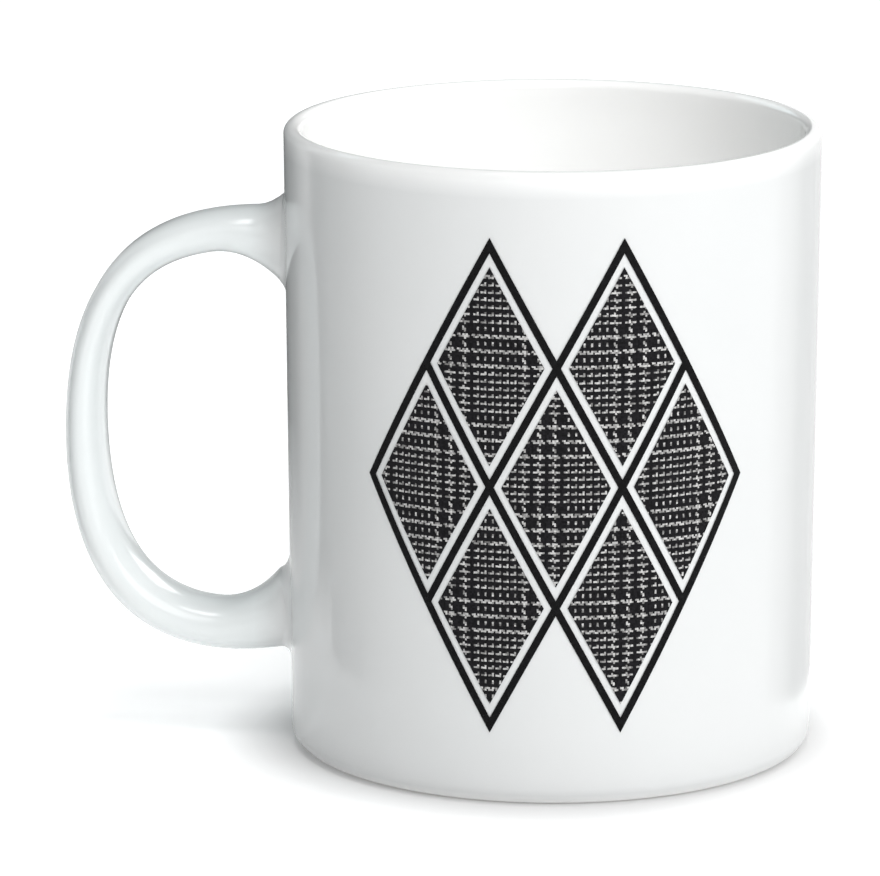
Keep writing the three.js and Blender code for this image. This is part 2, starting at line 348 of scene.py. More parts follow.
def gloss_glaze(name, full, thin, nearer, radii, dullest):
    """White glaze, dipped and fired: smooth and wet-looking, a little uneven where it ran.

    It has another tone nearer to the mug's axis, up to the first radius, and its own from the second. The
    difference is painted light: the body's inside and the handle away from the wall are painted lighter.
    """
    material, tree, place = start_material(name)
    # Runs of thicker and thinner glaze some 25 mm across
    runs = add(tree, "ShaderNodeTexNoise", {"Vector": place, "Scale": 1 / 25, "Detail": 2})
    tint = add(tree, "ShaderNodeMix", {"Factor": runs.outputs["Fac"], "A": full, "B": thin}, data_type="RGBA")
    # Nearer to the axis the other tone shows: on the body the painted lighter inside, on the handle the body's
    # tone at its roots, where its painted lighter tone stops
    off_axis = add(tree, "ShaderNodeVectorMath", {0: place, 1: (1, 1, 0), 2: (-AXIS_X / MM, 0, 0)},
                   operation="MULTIPLY_ADD")
    radius = add(tree, "ShaderNodeVectorMath", {0: off_axis.outputs[0]}, operation="LENGTH")
    outside = add(tree, "ShaderNodeMapRange", {"Value": radius.outputs["Value"],
                                               "From Min": radii[0], "From Max": radii[1]})
    # Over the last millimetres below the lip the glaze's own tone gives way in part to the tone nearer to the
    # axis: a painted lighter band on the body
    height = add(tree, "ShaderNodeSeparateXYZ", {0: place}).outputs["Z"]
    fade = [BODY_HEIGHT / MM + offset for offset in LIP_PAINTED_BAND_MM]
    below_lip = add(tree, "ShaderNodeMapRange", {"Value": height, "From Min": fade[0], "From Max": fade[1]})
    # Share of the glaze's own tone; where it is less, the painted tone nearer to the axis shows
    coat = add(tree, "ShaderNodeMath", {0: outside.outputs[0], 1: below_lip.outputs[0]}, operation="MULTIPLY")
    tint = add(tree, "ShaderNodeMix", {"Factor": coat.outputs[0], "A": nearer, "B": tint.outputs["Result"]},
               data_type="RGBA")
    # Orange-peel waves some 5 mm across, a few hundredths of a millimetre high, that bend the reflections
    waves = add(tree, "ShaderNodeTexNoise", {"Vector": place, "Scale": 1 / 5, "Detail": 1})
    peel = add(tree, "ShaderNodeBump", {"Height": waves.outputs["Fac"], "Strength": 0.12,
                                        "Distance": 0.03 * MM})
    # Fine wash marks that dull the gloss in places
    marks = add(tree, "ShaderNodeTexNoise", {"Vector": place, "Scale": 1 / 9, "Detail": 5, "Roughness": 0.6})
    dull = add(tree, "ShaderNodeMapRange", {"Value": marks.outputs["Fac"], "From Min": 0.3, "From Max": 0.75,
                                            "To Min": dullest / 2, "To Max": dullest})
    end_material(tree, {"Base Color": tint.outputs["Result"], "Roughness": dull.outputs["Result"],
                        "IOR": GLASS_IOR, "Normal": peel.outputs["Normal"]})
    return material


def bare_clay(colours):
    """Unglazed stoneware, wiped before firing: chalky and fine-grained, rubbed grey on its flat."""
    material, tree, place = start_material("bare_stoneware")
    rubs = add(tree, "ShaderNodeTexNoise", {"Vector": place, "Scale": 1 / 6, "Detail": 4})
    worn = add(tree, "ShaderNodeMapRange", {"Value": rubs.outputs["Fac"], "From Min": 0.5, "From Max": 0.75})
    tint = add(tree, "ShaderNodeMix", {"Factor": worn.outputs["Result"], "A": colours.bare_clay,
                                       "B": colours.rubbed_clay}, data_type="RGBA")
    # Grit some 0.4 mm across
    grit = add(tree, "ShaderNodeTexNoise", {"Vector": place, "Scale": 1 / 0.4, "Detail": 2})
    grain = add(tree, "ShaderNodeBump", {"Height": grit.outputs["Fac"], "Strength": 0.5,
                                         "Distance": 0.05 * MM})
    end_material(tree, {"Base Color": tint.outputs["Result"], "Roughness": 0.78, "IOR": 1.5,
                        "Normal": grain.outputs["Normal"]})
    return material


def line_ink(colours):
    """Black ceramic ink fired into the glaze: glossy, nearly flat, a little thinner in places."""
    material, tree, place = start_material("fired_black_ink")
    # Uneven ink from the printing screen, some 0.6 mm across
    screen = add(tree, "ShaderNodeTexNoise", {"Vector": place, "Scale": 1 / 0.6, "Detail": 3})
    thin = add(tree, "ShaderNodeMapRange", {"Value": screen.outputs["Fac"],
                                            "From Min": 0.45, "From Max": 0.8})
    tint = add(tree, "ShaderNodeMix", {"Factor": thin.outputs["Result"], "A": colours.line_ink,
                                       "B": colours.thin_line_ink}, data_type="RGBA")
    dull = add(tree, "ShaderNodeMapRange", {"Value": screen.outputs["Fac"], "To Min": 0.14, "To Max": 0.22})
    end_material(tree, {"Base Color": tint.outputs["Result"], "Roughness": dull.outputs["Result"],
                        "IOR": GLASS_IOR, "Specular IOR Level": INK_SPECULAR})
    return material


def tweed_ink(colours, radius, thread):
    """Ceramic ink printed as a dark checked tweed: two light threads in eight, or one in four, in a twill."""
    material, tree, place = start_material("fired_tweed_ink")
    # The wall rolled flat: distance round it and height, counted in threads. Some four of them to a
    # millimetre are about as fine as the picture can show.
    from_axis = add(tree, "ShaderNodeVectorMath", {0: place, 1: (1, -1, 1), 2: (-AXIS_X / MM, 0, 0)},
                    operation="MULTIPLY_ADD")
    part = add(tree, "ShaderNodeSeparateXYZ", {0: from_axis.outputs[0]})
    turn = add(tree, "ShaderNodeMath", {0: part.outputs["X"], 1: part.outputs["Y"]}, operation="ARCTAN2")
    aside = add(tree, "ShaderNodeMath", {0: turn.outputs[0], 1: radius / thread}, operation="MULTIPLY")
    up = add(tree, "ShaderNodeMath", {0: part.outputs["Z"], 1: MM / thread}, operation="MULTIPLY")
    cloth = add(tree, "ShaderNodeCombineXYZ", {"X": aside.outputs[0], "Y": up.outputs[0]}).outputs[0]
    # Fibres some half a millimetre long push the threads out of line
    fuzz = add(tree, "ShaderNodeTexNoise", {"Vector": cloth, "Scale": 0.6, "Detail": 1})
    stray = add(tree, "ShaderNodeVectorMath", {0: fuzz.outputs["Color"], 1: (0.7, 0.7, 0), 2: cloth},
                operation="MULTIPLY_ADD")
    thread_number = add(tree, "ShaderNodeVectorMath", {0: stray.outputs[0]}, operation="FLOOR").outputs[0]

    # Dark or light by the place of a thread in its set, across and up at once: 1 is dark
    dark = {}
    for check in (WIDE_CHECK, FINE_CHECK, BLOCKS):
        threads, light = check
        half = (0.5 / threads,) * 3
        scale = (1 / threads,) * 3
        phase = add(tree, "ShaderNodeVectorMath", {0: thread_number, 1: scale, 2: half},
                    operation="MULTIPLY_ADD")
        part_way = add(tree, "ShaderNodeVectorMath", {0: phase.outputs[0]}, operation="FRACTION")
        dark_share = (1 - light / threads,) * 3
        past_light = add(tree, "ShaderNodeVectorMath", {0: part_way.outputs[0], 1: dark_share},
                         operation="ADD")
        is_dark = add(tree, "ShaderNodeVectorMath", {0: past_light.outputs[0]}, operation="FLOOR")
        dark[check] = is_dark.outputs[0]
    sett = add(tree, "ShaderNodeMix", {"Factor": dark[BLOCKS], "A": dark[WIDE_CHECK], "B": dark[FINE_CHECK]},
               data_type="VECTOR", factor_mode="NON_UNIFORM")
    warp_weft = add(tree, "ShaderNodeSeparateXYZ", {0: sett.outputs["Result"]})

    # Two over, two under: which of the two threads lies on top steps along with each row
    diagonal = add(tree, "ShaderNodeVectorMath", {0: thread_number, 1: (1 / 4, 1 / 4, 0)},
                   operation="DOT_PRODUCT")
    centred = add(tree, "ShaderNodeMath", {0: diagonal.outputs["Value"], 1: 1 / 8}, operation="ADD")
    in_twill = add(tree, "ShaderNodeMath", {0: centred.outputs[0]}, operation="FRACT")
    weft_up = add(tree, "ShaderNodeMath", {0: in_twill.outputs[0], 1: 0.5}, operation="GREATER_THAN")
    woven = add(tree, "ShaderNodeMix", {"Factor": weft_up.outputs[0], "A": warp_weft.outputs["X"],
                                        "B": warp_weft.outputs["Y"]}, data_type="FLOAT")

    # Uneven dye from one crossing to the next
    dye = add(tree, "ShaderNodeTexWhiteNoise", {"Vector": thread_number}, noise_dimensions="2D")
    faded = add(tree, "ShaderNodeMix", {"Factor": dye.outputs["Value"], "A": colours.dark_thread,
                                        "B": colours.faded_thread}, data_type="RGBA")
    pale = add(tree, "ShaderNodeMix", {"Factor": dye.outputs["Value"], "A": colours.light_thread,
                                       "B": colours.pale_thread}, data_type="RGBA")
    tint = add(tree, "ShaderNodeMix", {"Factor": woven.outputs["Result"], "A": pale.outputs["Result"],
                                       "B": faded.outputs["Result"]}, data_type="RGBA")
    end_material(tree, {"Base Color": tint.outputs["Result"], "Roughness": 0.2,
                        "IOR": GLASS_IOR, "Specular IOR Level": INK_SPECULAR})
    return material


def studio_paper(colours, foot_radius):
    """Studio paper: matt, with the faint mottle of its pulp, glowing, with a painted shadow at the mug's foot.

    Far from the mug, where the lamps do not reach, it glows more strongly, painted light that keeps it white.
    """
    material, tree, place = start_material("studio_paper")
    pulp = add(tree, "ShaderNodeTexNoise", {"Vector": place, "Scale": 1 / 3, "Detail": 4})
    fibre = add(tree, "ShaderNodeBump", {"Height": pulp.outputs["Fac"], "Strength": 0.05,
                                         "Distance": 0.05 * MM})
    # The painted shadow, darker paper and a weaker glow, starts a millimetre under the mug
    off_axis = add(tree, "ShaderNodeVectorMath", {0: place, 1: (-AXIS_X / MM, 0, 0)}, operation="ADD")
    radius = add(tree, "ShaderNodeVectorMath", {0: off_axis.outputs[0]}, operation="LENGTH").outputs["Value"]
    start = foot_radius / MM - 1
    edges = {"Value": radius, "From Min": start, "From Max": start + SHADE_WIDTH_MM}
    open_paper = add(tree, "ShaderNodeMapRange", edges)
    tint = add(tree, "ShaderNodeMix", {"Factor": open_paper.outputs[0], "A": colours.shaded_paper,
                                       "B": colours.paper}, data_type="RGBA")
    near = add(tree, "ShaderNodeMapRange", {**edges, "To Min": SHADED_GLOW * PAPER_GLOW,
                                            "To Max": PAPER_GLOW})
    far = add(tree, "ShaderNodeMapRange", {"Value": radius, "From Min": FAR_PAPER_MM[0],
                                           "From Max": FAR_PAPER_MM[1], "To Max": 1 - PAPER_GLOW})
    glow = add(tree, "ShaderNodeMath", {0: near.outputs[0], 1: far.outputs[0]}, operation="ADD")
    end_material(tree, {"Base Color": tint.outputs["Result"], "Roughness": 0.95,
                        "Normal": fibre.outputs["Normal"], "Emission Color": (1, 1, 1, 1),
                        "Emission Strength": glow.outputs[0]})
    return material


def glowing_card(name, size, pale, tints):
    """Card glowing at set tones for painted reflections, running from one side to the other and paling near
    the paper.
    """
    material, tree, place = start_material(name)
    half_width, foot = size[0] / 2 / MM, -MUG_MIDDLE.z / MM
    part = add(tree, "ShaderNodeSeparateXYZ", {0: place})
    across = add(tree, "ShaderNodeMapRange", {"Value": part.outputs["X"],
                                              "From Min": -half_width, "From Max": half_width})
    run = add(tree, "ShaderNodeValToRGB", {"Fac": across.outputs[0]})
    stops = run.color_ramp.elements
    stops.remove(stops[-1])
    stops[0].color = linear(tints[0])
    for i, tint in enumerate(tints[1:], 1):
        stops.new(i / (len(tints) - 1)).color = linear(tint)
    paled = add(tree, "ShaderNodeMapRange", {"Value": part.outputs["Y"],
                                             "From Min": foot, "From Max": foot + pale / MM})
    tint = add(tree, "ShaderNodeMix", {"Factor": paled.outputs[0], "A": (1, 1, 1, 1),
                                       "B": run.outputs["Color"]}, data_type="RGBA")
    end_material(tree, {"Base Color": (0, 0, 0, 1), "Roughness": 0.95,
                        "Emission Color": tint.outputs["Result"], "Emission Strength": 1})
    return material


# Body

def arc(centre_r, centre_z, radius, start, end):
    """Points of an arc as radius from the axis and height."""
    turns = [start + (end - start) * i / ARC_STEPS for i in range(ARC_STEPS + 1)]
    return [(centre_r + radius * math.cos(t), centre_z + radius * math.sin(t)) for t in turns]


def along(start, end, stations):
    """Points between two places on a straight line, closer together near its ends."""
    eased = [(1 - math.cos(math.pi * i / stations)) / 2 for i in range(1, stations)]
    return [(start[0] + (end[0] - start[0]) * e, start[1] + (end[1] - start[1]) * e) for e in eased]


def bezier(corners, t):
    """A point on a cubic curve with four corners."""
    weights = ((1 - t) ** 3, 3 * t * (1 - t) ** 2, 3 * t * t * (1 - t), t ** 3)
    return tuple(sum(w * c[i] for w, c in zip(weights, corners)) for i in range(2))


def wall_radius(size, z):
    """Radius of the straight outer wall at a height."""
    return size.foot_radius + (size.rim_radius - size.foot_radius) * z / size.height


def body_profile(size):
    """Half section, from the middle of the underside out, up the wall, over the lip and down inside."""
    slope = (size.rim_radius - size.foot_radius) / size.height
    lean = math.atan(slope)
    stretch = math.hypot(1, slope)

    bottom_r = wall_radius(size, size.bottom_edge) - size.bottom_edge * stretch
    ring_inner = bottom_r - size.foot_ring
    edge = size.recess / 2
    underside = arc(ring_inner - 2 * edge, edge, edge, RIGHT_ANGLE, 0)
    ring_edge = arc(ring_inner, edge, edge, math.pi, 3 * RIGHT_ANGLE)[1:]
    outer_edge = arc(bottom_r, size.bottom_edge, size.bottom_edge, -RIGHT_ANGLE, -lean)

    lip_radius = size.lip / 2
    lip_z = size.height - lip_radius
    lip_r = wall_radius(size, lip_z) - lip_radius * stretch
    lip = arc(lip_r, lip_z, lip_radius, -lean, math.pi)

    full_z = lip_z - size.lip_taper
    ease = size.lip_taper / 2
    taper = [(lip_r - lip_radius, lip_z), (lip_r - lip_radius, lip_z - ease),
             (wall_radius(size, full_z + ease) - size.wall, full_z + ease),
             (wall_radius(size, full_z) - size.wall, full_z)]
    thinning = [bezier(taper, i / ARC_STEPS) for i in range(1, ARC_STEPS + 1)]

    floor_z = size.recess + size.floor
    corner_z = floor_z + size.floor_corner
    corner_r = wall_radius(size, corner_z) - size.wall - size.floor_corner * stretch
    corner = arc(corner_r, corner_z, size.floor_corner, -lean, -RIGHT_ANGLE)

    start, end = (0, size.recess), (0, floor_z)
    profile = [start, *along(start, underside[0], WALL_STATIONS), *underside, *ring_edge,
               *along(ring_edge[-1], outer_edge[0], WALL_STATIONS), *outer_edge,
               *along(outer_edge[-1], lip[0], WALL_STATIONS), *lip, *thinning,
               *along(thinning[-1], corner[0], WALL_STATIONS), *corner,
               *along(corner[-1], end, WALL_STATIONS), end]
    return profile


class MUG_OT_body(bpy.types.Operator):
    """Turn the body from its half section and leave the foot ring unglazed"""
    bl_idname = "mug.body"
    bl_label = "Body"

    def execute(self, context):
        size, colours = context.scene.mug_body_sizes, context.scene.mug_colours
        profile = body_profile(size)
        bpy.ops.object.select_all(action="DESELECT")
        bpy.ops.mesh.primitive_plane_add(size=size.wall)
        body = context.object
        bpy.ops.object.mode_set(mode="EDIT")
        bpy.ops.mesh.select_all(action="SELECT")
        bpy.ops.mesh.merge(type="CENTER")
        bpy.ops.transform.translate(value=(AXIS_X + profile[0][0], 0, profile[0][1]))
        for (r, z), (next_r, next_z) in zip(profile, profile[1:]):
            bpy.ops.mesh.extrude_region_move(TRANSFORM_OT_translate={"value": (next_r - r, 0, next_z - z)})
        bpy.ops.mesh.select_all(action="SELECT")
        bpy.ops.mesh.spin(steps=TURN_STEPS, angle=2 * math.pi, center=(AXIS_X, 0, 0), axis=(0, 0, 1))
        bpy.ops.mesh.select_all(action="SELECT")
        bpy.ops.mesh.remove_doubles(threshold=MERGE_DISTANCE)
        bpy.ops.mesh.normals_make_consistent(inside=False)
        bpy.ops.object.mode_set(mode="OBJECT")
        glaze = gloss_glaze("white_gloss_glaze_painted_light", colours.glaze, colours.thin_glaze, colours.painted_lighter_inside_glaze,
                            BODY_GLAZE_MM, BODY_DULLNESS)
        finish_piece(body, "glazed_body", "glazed_body", [glaze, bare_clay(colours)], "mug_body")

        # The flat of the foot ring, and a little way up both its edges
        choose_faces(body, lambda middle: middle.z < size.wiped)
        body.active_material_index = 1
        bpy.ops.object.material_slot_assign()
        bpy.ops.object.mode_set(mode="OBJECT")
        return {"FINISHED"}


# Handle

def ear_line(body, handle):
    """Middle line from the upper wall round to the lower wall, as places out from the axis and up."""
    upper_z = body.height - handle.drop
    grip_z = handle.rise + (upper_z - handle.rise) * handle.grip_level
    grip_r = body.rim_radius + handle.reach

    def quarter(arm_z, spread_z, arm_fullness, grip_fullness):
        wall_r = wall_radius(body, arm_z)
        arm_r = wall_r + (grip_r - wall_r) * arm_fullness
        bend_z = grip_z + (spread_z - grip_z) * grip_fullness
        return [(wall_r, arm_z), (arm_r, spread_z), (grip_r, bend_z), (grip_r, grip_z)]

    upper = quarter(upper_z, upper_z + handle.upper_arm_spread, handle.upper_arm_fullness,
                    handle.upper_grip_fullness)
    lower = quarter(handle.rise, handle.rise - handle.lower_arm_spread, handle.lower_arm_fullness,
                    handle.lower_grip_fullness)
    steps = EAR_LINE_STEPS
    places = [bezier(upper, i / steps) for i in range(steps)]
    places += [bezier(lower, 1 - i / steps) for i in range(steps + 1)]
    return [Vector((AXIS_X - r, 0, z)) for r, z in places]


def ear_lengths(line):
    """Length of the middle line from its upper end to each of its points."""
    lengths = [0]
    for a, b in zip(line, line[1:]):
        lengths.append(lengths[-1] + (b - a).length)
    return lengths


def flare(spread, reach, distance):
    """Extra half size at a distance from the wall."""
    left = min(max(1 - distance / reach, 0), 1)
    return spread * left * left


def section(handle, whole, run):
    """Half sizes outwards, towards the fingers and to each side, at a length along the handle."""
    rest = whole - run
    if run < handle.bend_at:
        arm, part = handle.upper_arm, 1 - max(run, 0) / handle.bend_at
    else:
        arm, part = handle.lower_arm, min((run - handle.bend_at) / (whole - handle.bend_at), 1)
    half = (handle.bend + (arm - handle.bend) * part) / 2
    inner, outer = handle.inner_flare_length, handle.outer_flare_length
    return Vector((
        half + flare(handle.upper_outer_flare, outer, run),
        half + flare(handle.upper_inner_flare, inner, run) + flare(handle.lower_inner_flare, inner, rest),
        handle.width / 2 + flare(handle.side_flare, outer, run) + flare(handle.side_flare, outer, rest),
    ))


def start_section(handle, place, half_width, half_thickness):
    """A flat face with the handle's rounded section, square to X, left selected in edit mode."""
    bpy.ops.object.select_all(action="DESELECT")
    bpy.ops.mesh.primitive_plane_add(size=2, rotation=(0, -RIGHT_ANGLE, 0))
    piece = bpy.context.object
    bpy.ops.object.transform_apply(location=True, rotation=True, scale=True)
    bpy.ops.object.mode_set(mode="EDIT")
    bpy.ops.mesh.select_all(action="SELECT")
    bpy.ops.mesh.bevel(affect="VERTICES", offset=handle.section_corner, segments=CORNER_SEGMENTS, profile=0.5)
    bpy.ops.transform.resize(value=(1, half_width, half_thickness), center_override=(0, 0, 0))
    bpy.ops.transform.translate(value=place)
    return piece


class MUG_OT_handle(bpy.types.Operator):
    """Draw the handle out of one rounded section along the ear's middle line"""
    bl_idname = "mug.handle"
    bl_label = "Handle"

    def execute(self, context):
        scene = context.scene
        size, colours = scene.mug_handle_sizes, scene.mug_colours
        line = ear_line(scene.mug_body_sizes, size)
        lengths = ear_lengths(line)
        whole = lengths[-1]

        def station(run):
            """Middle of the section, its tilt about Y and its half sizes."""
            inside = min(max(run, 0), whole)
            i = next((k for k, at in enumerate(lengths) if at > inside), len(line) - 1)
            way = (line[i] - line[i - 1]).normalized()
            middle = line[i - 1] + way * (run - lengths[i - 1])
            outer, inner, side = section(size, whole, run)
            outwards = Vector((way.z, 0, -way.x))
            tilt = math.atan2(way.z, -way.x)
            tilt = tilt - 2 * math.pi if tilt > RIGHT_ANGLE else tilt
            return middle + outwards * (outer - inner) / 2, tilt, side, (outer + inner) / 2

        sunk = size.sunk
        runs = [-sunk + (whole + 2 * sunk) * i / HANDLE_STATIONS for i in range(HANDLE_STATIONS + 1)]
        middle, tilt, side, half = station(runs[0])
        handle = start_section(size, middle, side, half)
        for run in runs[1:]:
            next_middle, next_tilt, next_side, next_half = station(run)
            bpy.ops.mesh.extrude_region_move(TRANSFORM_OT_translate={"value": next_middle - middle})
            # With no window a turn goes the other way round, so its sign is changed
            bpy.ops.transform.rotate(value=tilt, orient_axis="Y", center_override=next_middle)
            bpy.ops.transform.resize(value=(1, next_side / side, next_half / half),
                                     center_override=next_middle)
            bpy.ops.transform.rotate(value=-next_tilt, orient_axis="Y", center_override=next_middle)
            middle, tilt, side, half = next_middle, next_tilt, next_side, next_half
        bpy.ops.mesh.select_all(action="SELECT")
        bpy.ops.mesh.normals_make_consistent(inside=False)
        bpy.ops.object.mode_set(mode="OBJECT")
        glaze = gloss_glaze("handle_gloss_glaze_painted_lighter", colours.painted_lighter_handle_glaze, colours.thin_painted_lighter_handle_glaze,
                            colours.glaze, HANDLE_GLAZE_MM, HANDLE_DULLNESS)
        finish_piece(handle, "glazed_handle", "glazed_handle", [glaze], "handle")
        return {"FINISHED"}


class MUG_OT_slip(bpy.types.Operator):
    """Spread a hollow slip fillet from each end of the handle on to the wall"""
    bl_idname = "mug.slip"
    bl_label = "Slip fillets"

    def execute(self, context):
        scene = context.scene
        body_size, size = scene.mug_body_sizes, scene.mug_handle_sizes
        line = ear_line(body_size, size)
        whole = ear_lengths(line)[-1]
        glaze = bpy.data.materials["handle_gloss_glaze_painted_lighter"]
        wall, handle = bpy.data.objects["glazed_body"], bpy.data.objects["glazed_handle"]
        ends = (("upper", line[0], line[1] - line[0], size.upper_fillet, 1),
                ("lower", line[-1], line[-2] - line[-1], size.lower_fillet, -1))
        for end, root, way, fillet, outwards in ends:
            lean = math.atan2(outwards * way.z, -way.x)

            def sizes(distance):
                """Half sizes about the root's height where a plane square to X cuts the leaning arm."""
                cut = Vector()
                # The cut's size and its place along the arm hang on each other and settle in a few rounds
                for _ in range(FILLET_ROUNDS):
                    runs = (distance + cut[0] * math.sin(lean), distance - cut[1] * math.sin(lean), distance)
                    runs = [run / math.cos(lean) for run in runs]
                    cut = Vector([section(size, whole, run if outwards > 0 else whole - run)[i]
                                  for i, run in enumerate(runs)])
                shift = distance * math.tan(lean)
                return Vector((cut[0] / math.cos(lean) + shift, cut[1] / math.cos(lean) - shift, cut[2]))

            grown = sizes(fillet)
            # Growth that the handle's own flare would reach at the wall, at its slope at the fillet's edge
            nudge = fillet / 100
            slope = (sizes(fillet - nudge) - grown) / nudge
            at_wall = slope * fillet
            full = at_wall + Vector((fillet, fillet, fillet))
            skirt = Vector((size.tuck_length,) * 3)
            tuck = Vector((size.tuck,) * 3)

            # Each ring: half sizes, distance from the wall, and its pulls on to the wall and the handle
            rings = [(sizes(fillet + size.tuck_length) - tuck, fillet + size.tuck_length, (0, 1))]
            for i in range(FILLET_STATIONS + 1):
                part = i / FILLET_STATIONS
                growth = at_wall * (2 * part * (1 - part)) + full * part * part
                rings.append((grown + growth, fillet, (1 - (1 - part) ** 2, (1 - part) ** 4)))
            rings.append((grown + full + skirt, fillet, (1, 0)))

            def place(half, distance):
                return root + Vector((-distance, 0, outwards * (half[0] - half[1]) / 2))

            half, distance, pulls = rings[0]
            slip = start_section(size, place(half, distance), half[2], (half[0] + half[1]) / 2)
            groups = [slip.vertex_groups.new(name=name) for name in ("to_wall", "to_handle")]

            def weigh(pulls):
                for group, pull in zip(groups, pulls):
                    slip.vertex_groups.active = group
                    scene.tool_settings.vertex_group_weight = pull
                    bpy.ops.object.vertex_group_assign()

            weigh(pulls)
            for next_half, next_distance, pulls in rings[1:]:
                middle, next_middle = place(half, distance), place(next_half, next_distance)
                bpy.ops.mesh.extrude_region_move(TRANSFORM_OT_translate={"value": next_middle - middle})
                taller = (next_half[0] + next_half[1]) / (half[0] + half[1])
                wider = next_half[2] / half[2]
                bpy.ops.transform.resize(value=(1, wider, taller), center_override=next_middle)
                weigh(pulls)
                half, distance = next_half, next_distance
            bpy.ops.object.mode_set(mode="OBJECT")
            apply_modifier(slip, "SHRINKWRAP", target=wall, wrap_method="PROJECT", use_project_x=True,
                           use_project_y=False, use_project_z=False, use_positive_direction=True,
                           use_negative_direction=False, vertex_group="to_wall")
            apply_modifier(slip, "SHRINKWRAP", target=handle, wrap_method="NEAREST_SURFACEPOINT",
                           wrap_mode="ABOVE_SURFACE", offset=-size.tuck, vertex_group="to_handle")

            # The skirt runs out just under the glaze of the wall, and its back lies deeper
            bpy.ops.object.mode_set(mode="EDIT")
            bpy.ops.transform.translate(value=(size.tuck, 0, 0))
            bpy.ops.mesh.extrude_region_move(TRANSFORM_OT_translate={"value": (size.sunk, 0, 0)})
            bpy.ops.mesh.select_all(action="SELECT")
            bpy.ops.mesh.normals_make_consistent(inside=False)
            bpy.ops.object.mode_set(mode="OBJECT")
            finish_piece(slip, f"{end}_slip_fillet", "glazed_slip", [glaze], f"{end}_handle_slip")
        return {"FINISHED"}


# Print

